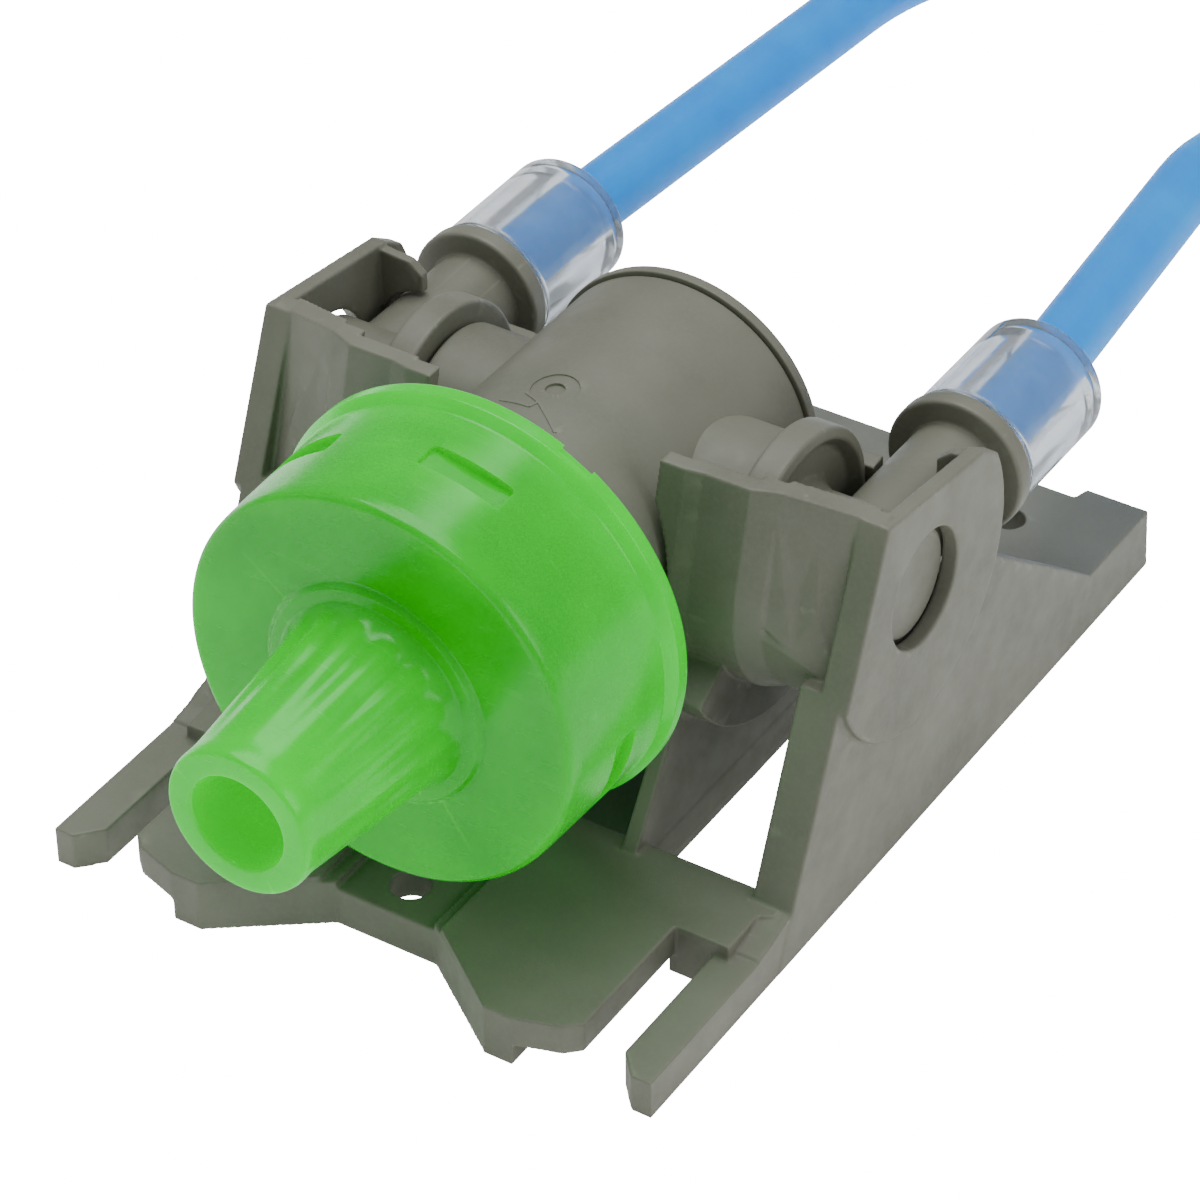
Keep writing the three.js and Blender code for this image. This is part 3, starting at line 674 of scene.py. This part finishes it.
def turned_block(piece, angle):
    """Turns a piece about the cup's axis, from the top towards +X."""
    centre = Vector((0, 0, AXIS_HEIGHT * MM))
    turn = Matrix.Rotation(math.radians(angle), 4, "Y")
    piece.data.transform(Matrix.Translation(centre) @ turn @ Matrix.Translation(-centre))
    return piece


def rounded_slot(half_long, half_wide, y, angle):
    """A tool that cuts a window with round corners into the cup's side."""
    corner = 0.5
    outline = rounded([
        (-half_long, y - half_wide, corner), (half_long, y - half_wide, corner),
        (half_long, y + half_wide, corner), (-half_long, y + half_wide, corner),
    ])
    slot = plan(outline, AXIS_HEIGHT + 15.6, AXIS_HEIGHT + 18)
    return turned_block(slot, angle)


def hook(angle):
    """A catch inside the rim that holds the cup on the housing's flange."""
    outline = [(14.4 * math.sin(a), 14.4 * math.cos(a)) for a in spread(11)]
    outline += [(12.0 * math.sin(a), 12.0 * math.cos(a)) for a in reversed(spread(11))]
    piece = prism(outline, -19.1, -17.5, lambda x, z, y: (x, y, z + AXIS_HEIGHT))
    return turned_block(piece, angle)


def spread(half, steps=10):
    return [math.radians(half * (2 * i / steps - 1)) for i in range(steps + 1)]


# ---- elbows, sleeves, ends ---------------------------------------------------------------------
def make_elbow(side):
    spigot, end = 10.9, 14.2
    body = turned(rounded([
        (0, spigot), (3.2, spigot, 0.2), (3.2, spigot + 0.7), (2.5, spigot + 0.7),
        (2.5, spigot + 1.9), (3.2, spigot + 1.9), (3.2, end), (9, end, 0.3), (9, 16.6, 0.3),
        (8.1, 16.9, 0.2), (7.4, 15.9, 0.3), (5, 15.9, 0.5), (4.4, 17, 0.3), (4.4, 25.6, 0.3),
        (0, 25.6),
    ], closed=False), along_x(side), 96)
    pipe = rod(3.85, 0, 15.0, along_y(side * HOSE_X), 96)
    collar = turned(rounded([
        (0, 13.9), (5.68, 13.9, 0.35), (5.68, 15.6, 0.35), (0, 15.6),
    ], closed=False), along_y(side * HOSE_X), 96)
    barb = turned(rounded([
        (0, 15), (1.7, 15), (1.7, 25.4, 0.3), (1.2, 26.2), (0, 26.2),
    ], closed=False), along_y(side * HOSE_X), 48)
    combine(body, [pipe, collar, barb])
    cut(body, [rod(1.1, 18, 27, along_y(side * HOSE_X), 24)])
    return soften(body, voxel=0.12, passes=2, keep=0.3)


def end_place(side):
    """Places a turned piece on a loose hose end."""
    way = end_way(side)
    across_way = Vector((way.y, -way.x, 0.0))
    middle = Vector((COIL.x + side * LOOSE_END.x, COIL.y + LOOSE_END.y, END_HEIGHT))

    def place(r, t, a):
        p = middle + way * (a - 10) + across_way * (r * math.sin(t))
        return (p.x, p.y, p.z + r * math.cos(t))

    return place


def make_sleeve(low, high, place):
    inner, outer = 3.3, 5.4
    return crisp(turned(rounded([
        (inner, low, 0.3), (outer, low, 0.45), (outer, high, 0.45), (inner, high, 0.3),
    ]), place, 96), 50)


def make_end_connector(side):
    return crisp(turned(rounded([
        (1.1, 0.8), (1.7, 0.8, 0.2), (1.7, 11.7), (5.28, 11.7, 0.3), (5.28, 13.3, 0.3),
        (3.4, 13.3, 0.3), (3.2, 20.3, 0.3), (1.1, 20.3, 0.2),
    ]), end_place(side), 96), 30)


# ---- materials ---------------------------------------------------------------------------------
def srgb(r, g, b):
    """Linear colour from 0 to 255 values."""
    def line(v):
        v /= 255
        return v / 12.92 if v <= 0.04045 else ((v + 0.055) / 1.055) ** 2.4
    return (line(r), line(g), line(b), 1.0)


class Nodes:
    """A few words for building a node material."""

    def __init__(self, name):
        self.material = bpy.data.materials.new(name)
        self.material.use_nodes = True
        self.tree = self.material.node_tree
        self.shader = self.tree.nodes["Principled BSDF"]
        self.place = self.add("ShaderNodeTexCoord").outputs["Object"]

    def add(self, kind, **values):
        node = self.tree.nodes.new(kind)
        for key, value in values.items():
            setattr(node, key, value)
        return node

    def link(self, source, target):
        self.tree.links.new(source, target)

    def set(self, **values):
        for key, value in values.items():
            self.shader.inputs[key.replace("_", " ")].default_value = value

    def noise(self, per_mm, detail=3.0, stretch=(1, 1, 1), rough=0.55):
        mapping = self.add("ShaderNodeMapping")
        mapping.inputs["Scale"].default_value = [1000 * per_mm * s for s in stretch]
        self.link(self.place, mapping.inputs["Vector"])
        node = self.add("ShaderNodeTexNoise")
        node.inputs["Scale"].default_value = 1.0
        node.inputs["Detail"].default_value = detail
        node.inputs["Roughness"].default_value = rough
        self.link(mapping.outputs["Vector"], node.inputs["Vector"])
        return node.outputs["Fac"]

    def ramp(self, source, stops):
        node = self.add("ShaderNodeValToRGB")
        elements = node.color_ramp.elements
        while len(elements) < len(stops):
            elements.new(0.5)
        for element, (at, colour) in zip(elements, stops):
            element.position = at
            element.color = colour if len(colour) == 4 else (*colour, 1.0)
        self.link(source, node.inputs["Fac"])
        return node.outputs["Color"]

    def greys(self, source, stops):
        return self.ramp(source, [(at, (value,) * 3) for at, value in stops])

    def grey(self, source, low, high, dark=0.0, light=1.0):
        return self.greys(source, [(low, dark), (high, light)])

    def mix(self, factor, a, b, blend="MIX"):
        node = self.add("ShaderNodeMix", data_type="RGBA", blend_type=blend)
        for socket, value in ((node.inputs[0], factor), (node.inputs[6], a), (node.inputs[7], b)):
            if hasattr(value, "links"):
                self.link(value, socket)
            else:
                socket.default_value = value
        return node.outputs[2]

    def bump(self, source, height_mm, strength=1.0, after=None):
        node = self.add("ShaderNodeBump")
        node.inputs["Distance"].default_value = height_mm * MM
        node.inputs["Strength"].default_value = strength
        self.link(source, node.inputs["Height"])
        if after is not None:
            self.link(after, node.inputs["Normal"])
        return node.outputs["Normal"]

    def painted_glow(self):
        """Painted glow with no lamp behind it. It stands in for light that soaks through the thin
        plastic and for a lit side and rim, by place along the cup's axis, and by distance from the
        axis inside the stub's bore, where it paints a bright bottom and darker walls."""
        parts = self.add("ShaderNodeSeparateXYZ")
        self.link(self.place, parts.inputs[0])
        along = self.add("ShaderNodeMapRange")
        along.inputs["From Min"].default_value = -47.5 * MM  # just before the stub's tip
        along.inputs["From Max"].default_value = -16.5 * MM  # just behind the rim
        self.link(parts.outputs["Y"], along.inputs["Value"])
        # painted light along the cup: brighter stub, side and rim, almost none on the front face
        painted_glow_along = self.greys(along.outputs["Result"], [
            (0.0, 0.26), (0.3, 0.16), (0.47, 0.16), (0.54, 0.02), (0.64, 0.1), (0.85, 0.15),
            (0.95, 0.32)])
        centred = self.add("ShaderNodeMapping")
        centred.inputs["Location"].default_value = (0, 0, -AXIS_HEIGHT * MM)
        centred.inputs["Scale"].default_value = (1, 0, 1)
        self.link(self.place, centred.inputs["Vector"])
        radius = self.add("ShaderNodeVectorMath", operation="LENGTH")
        self.link(centred.outputs["Vector"], radius.inputs[0])
        from_axis = self.add("ShaderNodeMapRange")
        from_axis.inputs["From Max"].default_value = 18 * MM
        self.link(radius.outputs["Value"], from_axis.inputs["Value"])
        # painted light and shade in the stub's bore: bright bottom, darker walls
        inside = self.greys(from_axis.outputs["Result"], [
            (0.0, 0.5), (0.1, 0.3), (0.17, 0.08), (0.215, 0.0)])
        return self.mix(1.0, painted_glow_along, inside, "ADD")

    def edges(self, low, high):
        """0.6 on convex edges and 0 elsewhere, with a ramp between."""
        point = self.add("ShaderNodeNewGeometry").outputs["Pointiness"]
        return self.grey(point, low, high, 0.0, 0.6)

    def to(self, socket, source):
        self.link(source, self.shader.inputs[socket])


def moulded(name, base, light, dark, rough=(0.42, 0.58), edge=(0.54, 0.68)):
    """Satin moulded plastic: faint flow clouds, speckle, fine grain, and convex edges lightened as
    rubbed wear and painted highlight.
    """
    m = Nodes(name)
    clouds = m.noise(0.09, 2.0)
    speckle = m.noise(2.6, 4.0)
    colour = m.ramp(clouds, [(0.32, dark), (0.5, base), (0.7, light)])
    colour = m.mix(m.grey(speckle, 0.4, 0.75, 0.0, 0.35), colour, light)
    # convex edges lightened: partly rubbed wear, partly a painted edge highlight
    colour = m.mix(m.edges(*edge), colour, tuple(min(1.0, 1.28 * c) for c in light[:3]) + (1.0,))
    m.to("Base Color", colour)
    m.to("Roughness", m.grey(m.noise(0.5, 3.0), 0.3, 0.7, *rough))
    grain = m.bump(m.noise(4.0, 4.0), 0.02, 0.35)
    m.to("Normal", m.bump(m.noise(0.35, 2.0), 0.05, 0.35, grain))
    m.set(IOR=1.5)
    return m.material


def green_plastic():
    m = Nodes("green_plastic_look")
    clouds = m.noise(0.12, 2.0)
    base = m.ramp(clouds, [
        (0.3, srgb(2, 190, 14)), (0.55, srgb(4, 204, 18)), (0.75, srgb(12, 218, 22))])
    streaks = m.grey(m.noise(1.3, 5.0, (0.15, 1.6, 0.6)), 0.62, 0.78, 0.0, 0.4)
    base = m.mix(streaks, base, srgb(50, 234, 56))
    # painted highlight: convex edges and rims of the cup turn a brighter green
    base = m.mix(m.edges(0.53, 0.62), base, srgb(60, 245, 50))
    m.to("Base Color", base)
    scratches = m.noise(1.6, 6.0, (0.2, 2.4, 1.0), 0.7)
    m.to("Roughness", m.grey(scratches, 0.35, 0.75, 0.16, 0.34))
    fine = m.bump(scratches, 0.02, 0.25)
    m.to("Normal", m.bump(m.noise(0.25, 2.0), 0.06, 0.25, fine))
    m.set(IOR=1.42, Subsurface_Weight=0.6, Subsurface_Scale=0.006)
    m.set(Coat_Weight=0.08, Coat_Roughness=0.12)
    m.shader.inputs["Subsurface Radius"].default_value = (0.25, 1.0, 0.2)
    # the cup glows green with no lamp: painted light from painted_glow
    m.set(Emission_Color=(0.0, 1.0, 0.02, 1.0))
    m.to("Emission Strength", m.painted_glow())
    return m.material


def hose_plastic():
    m = Nodes("hose_plastic_look")
    clouds = m.noise(0.15, 2.0)
    base = m.ramp(clouds, [
        (0.3, srgb(0, 140, 240)), (0.55, srgb(0, 150, 248)), (0.75, srgb(0, 160, 254))])
    m.to("Base Color", base)
    m.to("Roughness", m.grey(m.noise(0.8, 3.0), 0.3, 0.7, 0.3, 0.42))
    m.to("Normal", m.bump(m.noise(0.6, 3.0), 0.04, 0.25))
    m.set(IOR=1.33, Subsurface_Weight=0.3, Subsurface_Scale=0.003)
    # painted glow: the hose emits a faint blue light of its own, so it reads brighter
    m.set(Emission_Color=(0.0, 0.45, 1.0, 1.0), Emission_Strength=0.12)
    m.shader.inputs["Subsurface Radius"].default_value = (0.3, 0.6, 1.0)
    return m.material


def clear_sleeve():
    m = Nodes("clear_sleeve_look")
    haze = m.noise(0.5, 3.0)
    m.to("Base Color", m.ramp(haze, [(0.3, srgb(226, 236, 244)), (0.7, srgb(246, 250, 252))]))
    m.to("Roughness", m.grey(haze, 0.3, 0.75, 0.05, 0.16))
    m.to("Normal", m.bump(m.noise(0.4, 2.0), 0.06, 0.3))
    m.set(IOR=1.42, Transmission_Weight=0.92)
    return m.material


def rubber(name):
    m = Nodes(name)
    m.to("Base Color", m.ramp(m.noise(1.5, 3.0), [(0.3, srgb(22, 22, 22)), (0.7, srgb(38, 38, 37))]))
    m.to("Roughness", m.grey(m.noise(2.5, 3.0), 0.3, 0.7, 0.6, 0.8))
    m.to("Normal", m.bump(m.noise(3.0, 3.0), 0.02, 0.4))
    return m.material


# base, light and dark
GREY = (srgb(119, 120, 107), srgb(127, 128, 115), srgb(110, 111, 98))
grey_look = moulded("grey_plastic_look", *GREY)
BONE = (srgb(206, 206, 198), srgb(220, 220, 212), srgb(192, 192, 184))
bearing_look = moulded("bearing_plastic_look", *BONE)
green_look = green_plastic()
hose_look = hose_plastic()
sleeve_look = clear_sleeve()
rubber_look = rubber("seal_rubber_look")


# ---- the pieces --------------------------------------------------------------------------------
finish_piece(make_bracket(), "moulded_bracket", "base", ["bracket"], grey_look)
finish_piece(make_housing(), "moulded_housing", "tilting_housing", ["housing"],
             grey_look)
finish_piece(make_end_cap(), "moulded_end_cap", "tilting_housing", ["housing_end_cap"],
             grey_look)
finish_piece(make_cup(), "moulded_green_cup", "turning_cup", ["green_cup"],
             green_look)

for side_name, side in SIDES.items():
    finish_piece(make_elbow(side), f"moulded_elbow_{side_name}", "base", [f"elbow_{side_name}"],
                 grey_look)
    near = make_sleeve(15.9, 27.4, along_y(side * HOSE_X))
    finish_piece(near, f"soft_sleeve_{side_name}", "base", [f"hose_sleeve_{side_name}"],
                 sleeve_look)
    far = make_sleeve(0, 11.4, end_place(side))
    finish_piece(far, f"soft_end_sleeve_{side_name}", "base", [f"hose_end_sleeve_{side_name}"],
                 sleeve_look)
    connector = make_end_connector(side)
    finish_piece(connector, f"moulded_end_connector_{side_name}", "base",
                 [f"hose_end_connector_{side_name}"], grey_look)
    hose, hose_length = hoses[side_name]
    hose.data.materials.append(hose_look)

KEPT_NODES = {
    "end_cap_seal": rubber_look, "bearing_plate_seal": rubber_look, "vane_lip_seal": rubber_look,
    "shaft_seal": rubber_look, "elbow_seal_left": rubber_look, "elbow_seal_right": rubber_look,
    "bearing_plate": bearing_look, "chamber_divider": bearing_look, "vane_rotor": bearing_look,
}
for node_name, look in KEPT_NODES.items():
    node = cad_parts[node_name]
    node.data.materials.clear()
    node.data.materials.append(look)


# ---- floor and light ---------------------------------------------------------------------------
def add_floor():
    floor = new_piece("floor", [(-900, -900, -0.05), (900, -900, -0.05), (900, 900, -0.05),
                                (-900, 900, -0.05)], [(0, 1, 2, 3)])
    m = Nodes("floor_look")
    m.to("Base Color", m.grey(m.noise(0.02, 2.0), 0.3, 0.7, 0.93, 0.95))
    m.set(Roughness=0.9)
    m.set(Emission_Color=(1, 1, 1, 1), Emission_Strength=0.42)
    glow = m.add("ShaderNodeEmission")  # the overexposed white of the studio, as the camera sees it
    glow.inputs["Strength"].default_value = 18.0
    seen = m.add("ShaderNodeMixShader")
    m.link(m.add("ShaderNodeLightPath").outputs["Is Camera Ray"], seen.inputs[0])
    m.link(m.shader.outputs[0], seen.inputs[1])
    m.link(glow.outputs[0], seen.inputs[2])
    m.link(seen.outputs[0], m.tree.nodes["Material Output"].inputs["Surface"])
    floor.data.materials.append(m.material)


def add_lamp(name, place, size, power):
    data = bpy.data.lights.new(name, "AREA")
    data.shape = "SQUARE"
    data.size = size
    data.energy = power
    lamp = bpy.data.objects.new(name, data)
    lamp.location = place
    target = Vector((0, 0, 0.015))
    lamp.rotation_euler = (target - Vector(place)).to_track_quat("-Z", "Y").to_euler()
    bpy.context.scene.collection.objects.link(lamp)


def add_world():
    world = bpy.data.worlds.new("studio")
    world.use_nodes = True
    back = world.node_tree.nodes["Background"]
    back.inputs["Color"].default_value = (1, 1, 1, 1)
    back.inputs["Strength"].default_value = 0.38
    bpy.context.scene.world = world


add_floor()
add_lamp("top_softbox", (-0.1, 0.15, 0.65), 0.5, 3.1)
add_lamp("right_softbox", (0.6, 0.1, 0.35), 0.35, 0.95)
add_lamp("left_softbox", (-0.6, -0.3, 0.4), 0.35, 0.15)
add_world()
